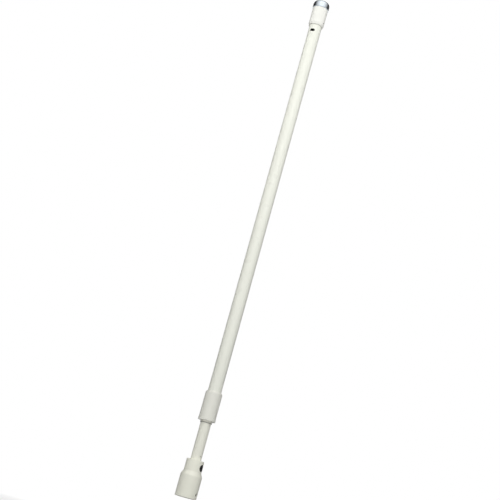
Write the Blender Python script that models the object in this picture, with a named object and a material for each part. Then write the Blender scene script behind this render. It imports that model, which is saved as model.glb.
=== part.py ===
"""Omnidirectional antenna in a radome tube that slides on a thinner support tube.

Metres, +Z up. The origin is the centre of the socket's lower rim, and every round piece
is turned about the Z axis. The cable hole and the set screws face +X, the slot faces -Y.
Two empties hold the two rigid bodies: "base" stays on the mast, and "mast" slides along +Z.
"""

import math

import bmesh
import bpy
from mathutils import Vector

# Clearances
GAP = 0.0003  # between pieces that touch
SLIDE_GAP = 0.0004  # radial, between the bushing and the inner tube
STOP_GAP = 0.002  # left at the end of the travel

# Tubes
INNER_TUBE_RADIUS = 0.0150
INNER_TUBE_WALL = 0.0020
BUSHING_WALL = 0.0011
OUTER_TUBE_WALL = 0.0022
TUBE_SHOWN = 0.1031  # inner tube seen between the socket and the wiper ring
TUBE_LEFT_SHOWN = 0.0051  # what is still seen of it when the mast is pushed right down
TRAVEL_UP = 0.300

# Mast socket
MAST_BORE_RADIUS = 0.0244  # takes a 48.3 mm mast
SKIRT_WALL = 0.0056
SKIRT_HEIGHT = 0.060
CONE_HEIGHT = 0.0115
HEAD_WALL = 0.0092
HEAD_HEIGHT = 0.0315
SEAT_DEPTH = 0.010  # between the mast bore's end and the skirt's upper edge
SEAT_LIP_HEIGHT = 0.003
EDGE = 0.0015  # rounded edges of the socket
MAST_SCREW_HEIGHT = 0.013
TUBE_SCREW_ABOVE_CONE = 0.0185
CABLE_HOLE_ABOVE_CONE = 0.0130
CABLE_HOLE_RADIUS = 0.0097
CABLE_BORE_RADIUS = 0.0050  # through the grommet
GROMMET_PROUD = 0.0006
DRAIN_HOLE_RADIUS = 0.0015
DRAIN_HOLE_ABOVE_SOCKET = 0.012
DRAIN_HOLE_ANGLE = math.radians(-24)

# Sliding joint
WIPER_HEIGHT = 0.0020
BUSHING_SHOWN = 0.0042
BUSHING_LENGTH = 0.080
SLEEVE_WALL = 0.00445
SLEEVE_LENGTH = 0.0831
SLEEVE_LIP_HEIGHT = 0.0047
SLEEVE_BEAD = 0.0007
SLEEVE_BEAD_HEIGHT = 0.007
SHOULDER_HEIGHT = 0.005
SHOULDER_TOP_WALL = 0.0010
SLEEVE_SLIT = 0.0016  # saw cut down one side, which lets the sleeve close on the tube
CLAMP_SCREW_HEIGHTS = (0.025, 0.057)  # above the sleeve's lower edge
GUIDE_FLANGE_HEIGHT = 0.008
GUIDE_PLUG_DEPTH = 0.022
GUIDE_PLUG_WALL = 0.0027

# Top end
COLLAR_WALL = 0.0042
COLLAR_LENGTH = 0.0599
COLLAR_TAPER = 0.0018
COLLAR_TAPER_HEIGHT = 0.007
COLLAR_SCREW_HEIGHT = 0.0126  # above the collar's lower edge
SLOT_BELOW_COLLAR = 0.0208
SLOT_WIDTH = 0.0150
SLOT_HEIGHT = 0.0080
FITTING_SHOULDER_HEIGHT = 0.011
FITTING_SPIGOT_LENGTH = 0.050
FITTING_WALL = 0.0045
CAP_LEDGE = 0.0015  # how far the end cap stands out past the collar
CAP_SIDE_HEIGHT = 0.0125  # straight part of its side, under the dome
CAP_DOME_HEIGHT = 0.0107
CAP_DOME_WIDTH = 0.0080
CAP_EDGE = 0.0010
TOP_ROOM = 0.0904  # from the radiator's tip to the outer tube's end
PLUG_HEIGHT = 0.010
PLUG_RECESS = 0.002

# Set screws: radius, and depth of the head below the surface
MAST_SCREW_RADIUS = 0.0050
TUBE_SCREW_RADIUS = 0.0030
COLLAR_SCREW_RADIUS = 0.0025
SCREW_RECESS = 0.0011
MAST_SCREW_RECESS = 0.0022
HEX_SHARE = 0.55  # hexagon socket's corner radius over the screw's radius
HEX_DEPTH = 0.0018

# Radiator
PLUG_ROOM = 0.070  # for the feed cable's plug, above the guide plug
BULKHEAD_HEIGHT = 0.008
JACK_RADIUS = 0.0079
JACK_REACH = 0.0137  # below the bulkhead
JACK_BORE_RADIUS = 0.0041
JACK_FLANGE_RADIUS = 0.0100
JACK_FLANGE_HEIGHT = 0.003
JACK_BOSS_RADIUS = 0.0055
JACK_BOSS_HEIGHT = 0.006
JACK_NUT_RADIUS = 0.0105
JACK_NUT_HEIGHT = 0.003
JACK_WASHER_RADIUS = 0.0098
JACK_WASHER_HEIGHT = 0.0007
CONTACT_RADIUS = 0.0015
CONTACT_REACH = 0.009
LINE_LENGTH = 0.100
LINE_RADIUS = 0.0032
LINE_SHIELD_WALL = 0.0005
LINE_CORE_RADIUS = 0.0008
CHOKE_RADIUS = 0.0080
CHOKE_WALL = 0.0008
CHOKE_LENGTH = 0.078
ROD_RADIUS = 0.0020
ROD_LENGTH = 0.148
ROD_COUNT = 3
FORMER_RADIUS = 0.0050
FORMER_LENGTH = 0.036
FORMER_HOLE_DEPTH = 0.006
COIL_WIRE_RADIUS = 0.0006
COIL_TURNS = 6
COIL_LEAD = 0.004  # from the former's end to where the wire meets the rod
SPACER_HEIGHT = 0.012

# Facets round a circle
ROUND = 32
SMALL_ROUND = 16
SCREW_ROUND = 12
COIL_STEPS = 10
DOME_STEPS = 4

# Radii that follow from the sizes
INNER_TUBE_BORE = INNER_TUBE_RADIUS - INNER_TUBE_WALL
ROUND_INNER_TUBE = INNER_TUBE_RADIUS + GAP
LINER_BORE = INNER_TUBE_RADIUS + SLIDE_GAP
IN_OUTER_TUBE = LINER_BORE + BUSHING_WALL
OUTER_TUBE_BORE = IN_OUTER_TUBE + GAP
OUTER_TUBE_RADIUS = OUTER_TUBE_BORE + OUTER_TUBE_WALL
ROUND_OUTER_TUBE = OUTER_TUBE_RADIUS + GAP
SKIRT_RADIUS = MAST_BORE_RADIUS + SKIRT_WALL
HEAD_RADIUS = ROUND_INNER_TUBE + HEAD_WALL
SLEEVE_RADIUS = ROUND_OUTER_TUBE + SLEEVE_WALL
COLLAR_RADIUS = ROUND_OUTER_TUBE + COLLAR_WALL
CAP_RADIUS = COLLAR_RADIUS + CAP_LEDGE
FITTING_BORE = IN_OUTER_TUBE - FITTING_WALL
GUIDE_BORE = INNER_TUBE_BORE - GAP - GUIDE_PLUG_WALL
CLEAR_OF_ALL = SKIRT_RADIUS + SLEEVE_RADIUS  # where a hole's tool ends, outside every piece

# Heights that follow from the sizes
MAST_BORE_DEPTH = SKIRT_HEIGHT - SEAT_DEPTH
CONE_TOP = SKIRT_HEIGHT + CONE_HEIGHT
CABLE_HOLE_HEIGHT = CONE_TOP + CABLE_HOLE_ABOVE_CONE
TUBE_SCREW_HEIGHT = CONE_TOP + TUBE_SCREW_ABOVE_CONE
SOCKET_TOP = CONE_TOP + HEAD_HEIGHT
INNER_TUBE_BOTTOM = MAST_BORE_DEPTH + SEAT_LIP_HEIGHT + GAP
WIPER_BOTTOM = SOCKET_TOP + TUBE_SHOWN
BUSHING_BOTTOM = WIPER_BOTTOM + WIPER_HEIGHT + GAP
SLEEVE_BOTTOM = BUSHING_BOTTOM + BUSHING_SHOWN
OUTER_TUBE_BOTTOM = SLEEVE_BOTTOM + SLEEVE_LIP_HEIGHT + GAP
BUSHING_TOP = BUSHING_BOTTOM + BUSHING_LENGTH
INNER_TUBE_TOP = BUSHING_TOP + TRAVEL_UP + STOP_GAP
GUIDE_TOP = INNER_TUBE_TOP + GAP + GUIDE_FLANGE_HEIGHT
TRAVEL_DOWN = TUBE_SHOWN - TUBE_LEFT_SHOWN

BULKHEAD_BOTTOM = GUIDE_TOP + TRAVEL_DOWN + PLUG_ROOM + JACK_REACH
BULKHEAD_TOP = BULKHEAD_BOTTOM + BULKHEAD_HEIGHT
JACK_TOP = BULKHEAD_TOP + GAP + JACK_FLANGE_HEIGHT + JACK_BOSS_HEIGHT
LINE_BOTTOM = JACK_TOP + GAP
LINE_TOP = LINE_BOTTOM + LINE_LENGTH
RADIATOR_BOTTOM = LINE_TOP + GAP
ROD_PITCH = ROD_LENGTH + FORMER_LENGTH
RADIATOR_TOP = RADIATOR_BOTTOM + (ROD_COUNT - 1) * ROD_PITCH + ROD_LENGTH

OUTER_TUBE_TOP = RADIATOR_TOP + TOP_ROOM
COLLAR_TOP = OUTER_TUBE_TOP + FITTING_SHOULDER_HEIGHT
COLLAR_BOTTOM = COLLAR_TOP - COLLAR_LENGTH
FITTING_TOP = COLLAR_TOP + GAP + CAP_SIDE_HEIGHT + CAP_DOME_HEIGHT

# Directions round the Z axis, as angles from +X
FRONT = math.radians(-90)
RIGHT = 0.0
BACK = math.radians(90)
LEFT = math.radians(180)


def clear_scene():
    for obj in list(bpy.data.objects):
        bpy.data.objects.remove(obj, do_unlink=True)


def make_material(name, colour, roughness, metallic=0.0):
    material = bpy.data.materials.new(name)
    material.use_nodes = True
    shader = material.node_tree.nodes["Principled BSDF"]
    shader.inputs["Base Color"].default_value = (*colour, 1.0)
    shader.inputs["Roughness"].default_value = roughness
    shader.inputs["Metallic"].default_value = metallic
    return material


def make_empty(name, height):
    empty = bpy.data.objects.new(name, None)
    empty.location.z = height
    bpy.context.collection.objects.link(empty)
    return empty


def outward(angle):
    """The unit vector that points away from the Z axis at this angle from +X."""
    return Vector((math.cos(angle), math.sin(angle), 0.0))


def add_object(name, data, material, body, location):
    obj = bpy.data.objects.new(name, data)
    obj.data.materials.append(material)
    obj.parent = body
    obj.location = Vector(location) - body.location
    bpy.context.collection.objects.link(obj)
    return obj


def shade(mesh):
    mesh.shade_smooth()
    mesh.set_sharp_from_angle(angle=math.radians(30))


def lathe(name, outline, hollow, sides=ROUND, hexagons=()):
    """A mesh turned about Z from (radius, height) points that run once round the section.

    A hollow section closes on itself. A solid one starts and ends with a flat cap.
    The points whose places are in hexagons become a hexagon instead of a circle.
    """
    bm = bmesh.new()
    rings = []
    for place, (radius, height) in enumerate(outline):
        ring = []
        for step in range(sides):
            angle = 2 * math.pi * step / sides
            on_flat = place in hexagons and step % 2
            reach = radius * math.cos(math.pi / 6) if on_flat else radius
            ring.append(bm.verts.new((reach * math.cos(angle), reach * math.sin(angle), height)))
        rings.append(ring)
    following = rings[1:] + rings[:1] if hollow else rings[1:]
    for ring, after in zip(rings, following):
        for step in range(sides):
            beside = (step + 1) % sides
            bm.faces.new((ring[step], ring[beside], after[beside], after[step]))
    if not hollow:
        bm.faces.new(rings[0])
        bm.faces.new(rings[-1])
    bmesh.ops.recalc_face_normals(bm, faces=bm.faces)
    mesh = bpy.data.meshes.new(name)
    bm.to_mesh(mesh)
    bm.free()
    shade(mesh)
    return mesh


def ring_outline(inner, outer, height, edge=0.0):
    """The section of a plain tube, with its four edges cut back by edge."""
    if edge == 0.0:
        return [(outer, 0.0), (outer, height), (inner, height), (inner, 0.0)]
    return [
        (outer - edge, 0.0),
        (outer, edge),
        (outer, height - edge),
        (outer - edge, height),
        (inner + edge, height),
        (inner, height - edge),
        (inner, edge),
        (inner + edge, 0.0),
    ]


def add_turned(name, outline, material, body, height, hollow=True, sides=ROUND, hexagons=()):
    mesh = lathe(name, outline, hollow, sides, hexagons)
    return add_object(name, mesh, material, body, (0.0, 0.0, height))


def add_cutter(name, mesh, location, angle):
    """A hidden tool whose own Z axis points outward at the angle."""
    cutter = bpy.data.objects.new(name, mesh)
    cutter.location = location
    cutter.rotation_euler = outward(angle).to_track_quat("Z", "X").to_euler()
    cutter.hide_render = True
    cutter.display_type = "WIRE"
    bpy.context.collection.objects.link(cutter)
    return cutter


def combine(target, tool, operation):
    modifier = target.modifiers.new(tool.name, "BOOLEAN")
    modifier.operation = operation
    modifier.object = tool


def drill(target, angle, height, radius, start, sides=SMALL_ROUND):
    """A round hole that points outward from the Z axis, from start to the outside."""
    name = f"{target.name}_hole_{len(target.modifiers)}"
    mesh = lathe(name, [(radius, start), (radius, CLEAR_OF_ALL)], False, sides)
    combine(target, add_cutter(name, mesh, (0.0, 0.0, height), angle), "DIFFERENCE")


def obround_mesh(name, width, height, start, end):
    """A bar with round ends, width across, that runs along its own Z from start to end."""
    bm = bmesh.new()
    radius = height / 2
    corners = []
    for side in (1, -1):
        for step in range(SMALL_ROUND // 2 + 1):
            angle = math.pi * step / (SMALL_ROUND // 2) - math.pi / 2
            across = side * (width / 2 - radius + radius * math.cos(angle))
            corners.append((side * radius * math.sin(angle), across))
    rows = [[bm.verts.new((x, y, z)) for x, y in corners] for z in (start, end)]
    for place in range(len(corners)):
        beside = (place + 1) % len(corners)
        bm.faces.new((rows[0][place], rows[0][beside], rows[1][beside], rows[1][place]))
    bm.faces.new(rows[0])
    bm.faces.new(rows[1])
    bmesh.ops.recalc_face_normals(bm, faces=bm.faces)
    mesh = bpy.data.meshes.new(name)
    bm.to_mesh(mesh)
    bm.free()
    return mesh


def slit(target, angle, middle, length, width, start):
    """A straight saw cut along the Z axis, through one wall and past both ends."""
    bm = bmesh.new()
    bmesh.ops.create_cube(bm, size=1.0)
    reach = CLEAR_OF_ALL - start
    scale = (length + 2 * width, width, reach)
    bmesh.ops.scale(bm, vec=scale, verts=bm.verts)
    bmesh.ops.translate(bm, vec=(0.0, 0.0, start + reach / 2), verts=bm.verts)
    mesh = bpy.data.meshes.new(f"{target.name}_slit")
    bm.to_mesh(mesh)
    bm.free()
    combine(target, add_cutter(mesh.name, mesh, (0.0, 0.0, middle), angle), "DIFFERENCE")


def add_set_screw(name, material, body, angle, height, radius, start, end):
    """A headless screw with a hexagon socket, from start to end, measured outward from the Z axis."""
    length = end - start
    point = radius * 0.3
    outline = [
        (radius - point, 0.0),
        (radius, point),
        (radius, length - point / 2),
        (radius - point / 2, length),
        (radius * HEX_SHARE, length),
        (radius * HEX_SHARE, length - HEX_DEPTH),
    ]
    mesh = lathe(name, outline, False, SCREW_ROUND, hexagons=(4, 5))
    location = outward(angle) * start + Vector((0.0, 0.0, height))
    screw = add_object(name, mesh, material, body, location)
    screw.rotation_euler = outward(angle).to_track_quat("Z", "X").to_euler()


def add_socket(body, paint, steel):
    """The stepped socket with its screws."""
    outline = [
        (SKIRT_RADIUS - EDGE / 2, 0.0),
        (SKIRT_RADIUS, EDGE / 2),
        (SKIRT_RADIUS, SKIRT_HEIGHT - EDGE),
        (SKIRT_RADIUS - EDGE / 3, SKIRT_HEIGHT),
        (HEAD_RADIUS + EDGE / 3, CONE_TOP - EDGE / 2),
        (HEAD_RADIUS, CONE_TOP + EDGE / 2),
        (HEAD_RADIUS, SOCKET_TOP - EDGE),
        (HEAD_RADIUS - EDGE / 3, SOCKET_TOP - EDGE / 3),
        (HEAD_RADIUS - EDGE, SOCKET_TOP),
        (ROUND_INNER_TUBE, SOCKET_TOP),
        (ROUND_INNER_TUBE, MAST_BORE_DEPTH + SEAT_LIP_HEIGHT),
        (INNER_TUBE_BORE, MAST_BORE_DEPTH + SEAT_LIP_HEIGHT),
        (INNER_TUBE_BORE, MAST_BORE_DEPTH),
        (MAST_BORE_RADIUS, MAST_BORE_DEPTH),
        (MAST_BORE_RADIUS, EDGE / 2),
        (MAST_BORE_RADIUS + EDGE / 2, 0.0),
    ]
    socket = add_turned("mast_socket", outline, paint, body, 0.0)
    drill(socket, RIGHT, CABLE_HOLE_HEIGHT, CABLE_HOLE_RADIUS, INNER_TUBE_BORE, ROUND)
    for place, angle in enumerate((RIGHT, LEFT), start=1):
        drill(socket, angle, MAST_SCREW_HEIGHT, MAST_SCREW_RADIUS + GAP, INNER_TUBE_BORE)
        name = f"socket_set_screw_{place}"
        tip = MAST_BORE_RADIUS
        end = SKIRT_RADIUS - MAST_SCREW_RECESS
        add_set_screw(name, steel, body, angle, MAST_SCREW_HEIGHT, MAST_SCREW_RADIUS, tip, end)
    for place, angle in enumerate((BACK, LEFT), start=1):
        drill(socket, angle, TUBE_SCREW_HEIGHT, TUBE_SCREW_RADIUS + GAP, INNER_TUBE_BORE)
        name = f"tube_set_screw_{place}"
        tip = ROUND_INNER_TUBE
        end = HEAD_RADIUS - SCREW_RECESS
        add_set_screw(name, steel, body, angle, TUBE_SCREW_HEIGHT, TUBE_SCREW_RADIUS, tip, end)


def add_grommet(body, rubber):
    """A rubber bush whose outer face follows the round of the socket."""
    length = HEAD_RADIUS + 2 * GROMMET_PROUD - ROUND_INNER_TUBE - GAP
    outline = ring_outline(CABLE_BORE_RADIUS, CABLE_HOLE_RADIUS - GAP, length)
    mesh = lathe("cable_grommet", outline, True, ROUND)
    location = (ROUND_INNER_TUBE + GAP, 0.0, CABLE_HOLE_HEIGHT)
    grommet = add_object("cable_grommet", mesh, rubber, body, location)
    grommet.rotation_euler = outward(RIGHT).to_track_quat("Z", "X").to_euler()
    reach = HEAD_RADIUS + GROMMET_PROUD
    size = 2 * CABLE_HOLE_RADIUS
    limit = lathe("cable_grommet_limit", [(reach, -size), (reach, size)], False, ROUND)
    tool = bpy.data.objects.new("cable_grommet_limit", limit)
    tool.location = (0.0, 0.0, CABLE_HOLE_HEIGHT)
    tool.hide_render = True
    tool.display_type = "WIRE"
    bpy.context.collection.objects.link(tool)
    combine(grommet, tool, "INTERSECT")


def add_inner_tube(body, paint, nylon):
    """The thinner tube, and the plug on its top end that runs in the outer tube."""
    length = INNER_TUBE_TOP - INNER_TUBE_BOTTOM
    outline = ring_outline(INNER_TUBE_BORE, INNER_TUBE_RADIUS, length)
    tube = add_turned("inner_tube", outline, paint, body, INNER_TUBE_BOTTOM)
    side_hole = CABLE_BORE_RADIUS + INNER_TUBE_WALL
    drill(tube, RIGHT, CABLE_HOLE_HEIGHT, side_hole, INNER_TUBE_BORE / 2)
    height = SOCKET_TOP + DRAIN_HOLE_ABOVE_SOCKET
    drill(tube, DRAIN_HOLE_ANGLE, height, DRAIN_HOLE_RADIUS, INNER_TUBE_BORE / 2)
    flange = [
        (INNER_TUBE_BORE - GAP, 0.0),
        (INNER_TUBE_BORE - GAP, GUIDE_PLUG_DEPTH),
        (IN_OUTER_TUBE, GUIDE_PLUG_DEPTH),
        (IN_OUTER_TUBE, GUIDE_PLUG_DEPTH + GUIDE_FLANGE_HEIGHT),
        (GUIDE_BORE, GUIDE_PLUG_DEPTH + GUIDE_FLANGE_HEIGHT),
        (GUIDE_BORE, 0.0),
    ]
    height = INNER_TUBE_TOP + GAP - GUIDE_PLUG_DEPTH
    add_turned("guide_plug", flange, nylon, body, height)


def add_outer_tube(body, paint):
    """The radome tube with its slot and the holes that the screws pass through."""
    outline = ring_outline(OUTER_TUBE_BORE, OUTER_TUBE_RADIUS, OUTER_TUBE_TOP - OUTER_TUBE_BOTTOM)
    tube = add_turned("outer_tube", outline, paint, body, OUTER_TUBE_BOTTOM)
    start = OUTER_TUBE_BORE / 2
    slot = obround_mesh("outer_tube_slot", SLOT_WIDTH, SLOT_HEIGHT, start, CLEAR_OF_ALL)
    location = (0.0, 0.0, COLLAR_BOTTOM - SLOT_BELOW_COLLAR)
    combine(tube, add_cutter("outer_tube_slot", slot, location, FRONT), "DIFFERENCE")
    for height in CLAMP_SCREW_HEIGHTS:
        drill(tube, BACK, SLEEVE_BOTTOM + height, TUBE_SCREW_RADIUS + GAP, start)
    for angle in (RIGHT, LEFT):
        height = COLLAR_BOTTOM + COLLAR_SCREW_HEIGHT
        drill(tube, angle, height, COLLAR_SCREW_RADIUS + GAP, start)


def add_sleeve(body, paint, nylon, rubber, steel):
    """The sleeve on the lower end of the outer tube, with its liner, wiper and screws."""
    bead_radius = SLEEVE_RADIUS + SLEEVE_BEAD
    outline = [
        (bead_radius - SLEEVE_BEAD, 0.0),
        (bead_radius, SLEEVE_BEAD),
        (bead_radius, SLEEVE_BEAD_HEIGHT - SLEEVE_BEAD),
        (SLEEVE_RADIUS, SLEEVE_BEAD_HEIGHT),
        (SLEEVE_RADIUS, SLEEVE_LENGTH - SHOULDER_HEIGHT),
        (ROUND_OUTER_TUBE + SHOULDER_TOP_WALL, SLEEVE_LENGTH),
        (ROUND_OUTER_TUBE, SLEEVE_LENGTH),
        (ROUND_OUTER_TUBE, SLEEVE_LIP_HEIGHT),
        (OUTER_TUBE_BORE, SLEEVE_LIP_HEIGHT),
        (OUTER_TUBE_BORE, 0.0),
    ]
    sleeve = add_turned("lock_sleeve", outline, paint, body, SLEEVE_BOTTOM)
    middle = SLEEVE_BOTTOM + SLEEVE_LENGTH / 2
    slit(sleeve, RIGHT, middle, SLEEVE_LENGTH, SLEEVE_SLIT, INNER_TUBE_RADIUS)
    outline = ring_outline(LINER_BORE, IN_OUTER_TUBE, BUSHING_LENGTH)
    bushing = add_turned("lower_bushing", outline, nylon, body, BUSHING_BOTTOM)
    outline = ring_outline(LINER_BORE, IN_OUTER_TUBE, WIPER_HEIGHT, EDGE / 5)
    add_turned("wiper_ring", outline, rubber, body, WIPER_BOTTOM)
    for place, above in enumerate(CLAMP_SCREW_HEIGHTS, start=1):
        height = SLEEVE_BOTTOM + above
        for target in (sleeve, bushing):
            drill(target, BACK, height, TUBE_SCREW_RADIUS + GAP, INNER_TUBE_BORE)
        name = f"clamp_screw_{place}"
        end = SLEEVE_RADIUS - SCREW_RECESS
        add_set_screw(name, steel, body, BACK, height, TUBE_SCREW_RADIUS, ROUND_INNER_TUBE, end)


def add_top_end(body, paint, plate, nylon, steel):
    """The collar, the plated end cap with its domed shoulder, and the plug in its bore."""
    outline = [
        (COLLAR_RADIUS - COLLAR_TAPER, 0.0),
        (COLLAR_RADIUS, COLLAR_TAPER_HEIGHT),
        (COLLAR_RADIUS, COLLAR_LENGTH - EDGE / 2),
        (COLLAR_RADIUS - EDGE / 2, COLLAR_LENGTH),
        (ROUND_OUTER_TUBE, COLLAR_LENGTH),
        (ROUND_OUTER_TUBE, 0.0),
    ]
    collar = add_turned("top_collar", outline, paint, body, COLLAR_BOTTOM)
    height = COLLAR_BOTTOM + COLLAR_SCREW_HEIGHT
    for place, angle in enumerate((RIGHT, LEFT), start=1):
        drill(collar, angle, height, COLLAR_SCREW_RADIUS + GAP, OUTER_TUBE_BORE)
        name = f"collar_screw_{place}"
        end = COLLAR_RADIUS - SCREW_RECESS
        add_set_screw(name, steel, body, angle, height, COLLAR_SCREW_RADIUS, OUTER_TUBE_BORE, end)
    shoulder_bottom = FITTING_SPIGOT_LENGTH
    cap_bottom = shoulder_bottom + FITTING_SHOULDER_HEIGHT
    side_top = cap_bottom + CAP_SIDE_HEIGHT
    dome = []
    for step in range(DOME_STEPS + 1):
        turn = math.pi / 2 * step / DOME_STEPS
        radius = CAP_RADIUS - CAP_DOME_WIDTH * (1 - math.cos(turn))
        dome.append((radius, side_top + CAP_DOME_HEIGHT * math.sin(turn)))
    outline = [
        (IN_OUTER_TUBE, 0.0),
        (IN_OUTER_TUBE, shoulder_bottom),
        (OUTER_TUBE_RADIUS, shoulder_bottom),
        (OUTER_TUBE_RADIUS, cap_bottom),
        (CAP_RADIUS - CAP_EDGE, cap_bottom),
        (CAP_RADIUS, cap_bottom + CAP_EDGE),
        *dome,
        (FITTING_BORE, side_top + CAP_DOME_HEIGHT),
        (FITTING_BORE, 0.0),
    ]
    height = OUTER_TUBE_TOP + GAP - FITTING_SPIGOT_LENGTH
    add_turned("end_fitting", outline, plate, body, height)
    plug_radius = FITTING_BORE - GAP
    outline = [
        (plug_radius - CAP_EDGE, 0.0),
        (plug_radius, CAP_EDGE),
        (plug_radius, PLUG_HEIGHT),
        (plug_radius * HEX_SHARE, PLUG_HEIGHT),
        (plug_radius * HEX_SHARE, PLUG_HEIGHT / 2),
    ]
    height = FITTING_TOP - PLUG_RECESS - PLUG_HEIGHT
    add_turned("top_plug", outline, nylon, body, height, False, SCREW_ROUND * 2)


def add_jack(body, aluminium, plate, insulation, brass):
    """The bulkhead across the outer tube, and the coaxial jack that faces down from it."""
    hole = JACK_RADIUS + GAP
    outline = ring_outline(hole, IN_OUTER_TUBE, BULKHEAD_HEIGHT)
    add_turned("feed_bulkhead", outline, aluminium, body, BULKHEAD_BOTTOM)
    flange_bottom = JACK_REACH + BULKHEAD_HEIGHT + GAP
    flange_top = flange_bottom + JACK_FLANGE_HEIGHT
    boss_top = flange_top + JACK_BOSS_HEIGHT
    outline = [
        (JACK_RADIUS, 0.0),
        (JACK_RADIUS, flange_bottom),
        (JACK_FLANGE_RADIUS, flange_bottom),
        (JACK_FLANGE_RADIUS, flange_top),
        (JACK_BOSS_RADIUS, flange_top),
        (JACK_BOSS_RADIUS, boss_top),
        (JACK_BORE_RADIUS, boss_top),
        (JACK_BORE_RADIUS, 0.0),
    ]
    height = BULKHEAD_BOTTOM - JACK_REACH
    add_turned("jack_body", outline, plate, body, height, True, SCREW_ROUND * 2)
    outline = ring_outline(CONTACT_RADIUS + GAP, JACK_BORE_RADIUS - GAP, JACK_TOP - BULKHEAD_BOTTOM)
    add_turned("jack_insulator", outline, insulation, body, BULKHEAD_BOTTOM, True, SMALL_ROUND)
    contact_length = JACK_TOP - BULKHEAD_BOTTOM + CONTACT_REACH
    outline = [(CONTACT_RADIUS, 0.0), (CONTACT_RADIUS, contact_length)]
    height = BULKHEAD_BOTTOM - CONTACT_REACH
    add_turned("jack_contact", outline, brass, body, height, False, SCREW_ROUND)
    outline = ring_outline(hole, JACK_WASHER_RADIUS, JACK_WASHER_HEIGHT)
    height = BULKHEAD_BOTTOM - GAP - JACK_WASHER_HEIGHT
    add_turned("jack_washer", outline, plate, body, height, True, SCREW_ROUND * 2)
    outline = ring_outline(hole, JACK_NUT_RADIUS, JACK_NUT_HEIGHT)
    height = height - GAP - JACK_NUT_HEIGHT
    add_turned("jack_nut", outline, plate, body, height, True, SCREW_ROUND, hexagons=(0, 1))


def add_feed_line(body, brass, insulation):
    """The short rigid line from the jack to the radiator, and the choke sleeve round it."""
    bore = LINE_RADIUS - LINE_SHIELD_WALL
    outline = ring_outline(bore, LINE_RADIUS, LINE_LENGTH)
    add_turned("feed_line_shield", outline, brass, body, LINE_BOTTOM, True, SMALL_ROUND)
    outline = ring_outline(LINE_CORE_RADIUS + GAP, bore - GAP, LINE_LENGTH)
    add_turned("feed_line_dielectric", outline, insulation, body, LINE_BOTTOM, True, SMALL_ROUND)
    outline = [(LINE_CORE_RADIUS, 0.0), (LINE_CORE_RADIUS, LINE_LENGTH)]
    add_turned("feed_line_core", outline, brass, body, LINE_BOTTOM, False, SCREW_ROUND)
    outline = [
        (CHOKE_RADIUS, 0.0),
        (CHOKE_RADIUS, CHOKE_LENGTH),
        (LINE_RADIUS + GAP, CHOKE_LENGTH),
        (LINE_RADIUS + GAP, CHOKE_LENGTH - CHOKE_WALL),
        (CHOKE_RADIUS - CHOKE_WALL, CHOKE_LENGTH - CHOKE_WALL),
        (CHOKE_RADIUS - CHOKE_WALL, 0.0),
    ]
    height = LINE_TOP - CHOKE_LENGTH
    add_turned("choke_sleeve", outline, brass, body, height, True, SMALL_ROUND)


def coil_route():
    """The wire's middle line: in from the lower rod, up round the former, and in to the upper rod."""
    radius = FORMER_RADIUS + GAP + COIL_WIRE_RADIUS
    at_rod = ROD_RADIUS + GAP
    first = COIL_LEAD
    last = FORMER_LENGTH - COIL_LEAD
    route = [Vector((at_rod, 0.0, -COIL_LEAD)), Vector((radius, 0.0, -COIL_LEAD))]
    for step in range(COIL_TURNS * COIL_STEPS + 1):
        share = step / (COIL_TURNS * COIL_STEPS)
        angle = 2 * math.pi * COIL_TURNS * share
        height = first + (last - first) * share
        route.append(Vector((radius * math.cos(angle), radius * math.sin(angle), height)))
    route.append(Vector((radius, 0.0, FORMER_LENGTH + COIL_LEAD)))
    route.append(Vector((at_rod, 0.0, FORMER_LENGTH + COIL_LEAD)))
    return route


def add_phasing_coil(place, body, copper, insulation, height):
    """One coil of wire on its former, which joins the ends of two rods."""
    hole = ROD_RADIUS + GAP
    outline = [
        (hole, FORMER_HOLE_DEPTH),
        (hole, 0.0),
        (FORMER_RADIUS, 0.0),
        (FORMER_RADIUS, FORMER_LENGTH),
        (hole, FORMER_LENGTH),
        (hole, FORMER_LENGTH - FORMER_HOLE_DEPTH),
    ]
    name = f"coil_former_{place}"
    add_turned(name, outline, insulation, body, height, False, SMALL_ROUND)
    name = f"phasing_coil_{place}"
    curve = bpy.data.curves.new(name, "CURVE")
    curve.dimensions = "3D"
    curve.bevel_depth = COIL_WIRE_RADIUS
    curve.bevel_resolution = 1
    curve.use_fill_caps = True
    route = coil_route()
    spline = curve.splines.new("POLY")
    spline.points.add(len(route) - 1)
    for point, at in zip(spline.points, route):
        point.co = (*at, 1.0)
    add_object(name, curve, copper, body, (0.0, 0.0, height))


def add_radiator(body, brass, copper, insulation, foam):
    """The rods in line, a phasing coil between each two, and the foam discs round them."""
    in_former = FORMER_HOLE_DEPTH - GAP
    last = ROD_COUNT - 1
    starts = [RADIATOR_BOTTOM + place * ROD_PITCH for place in range(ROD_COUNT)]
    for place, start in enumerate(starts):
        bottom = start - in_former if place > 0 else start
        top = start + ROD_LENGTH + (in_former if place < last else 0.0)
        outline = [(ROD_RADIUS, 0.0), (ROD_RADIUS, top - bottom)]
        add_turned(f"radiator_{place + 1}", outline, brass, body, bottom, False, SCREW_ROUND)
        if place < last:
            add_phasing_coil(place + 1, body, copper, insulation, start + ROD_LENGTH)
    middles = [start + ROD_LENGTH / 2 for start in starts]
    top_middle = RADIATOR_TOP - SPACER_HEIGHT
    outline = ring_outline(ROD_RADIUS + GAP, IN_OUTER_TUBE, SPACER_HEIGHT)
    for place, middle in enumerate([*middles, top_middle], start=1):
        height = middle - SPACER_HEIGHT / 2
        add_turned(f"spacer_{place}", outline, foam, body, height, True, SMALL_ROUND)


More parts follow.
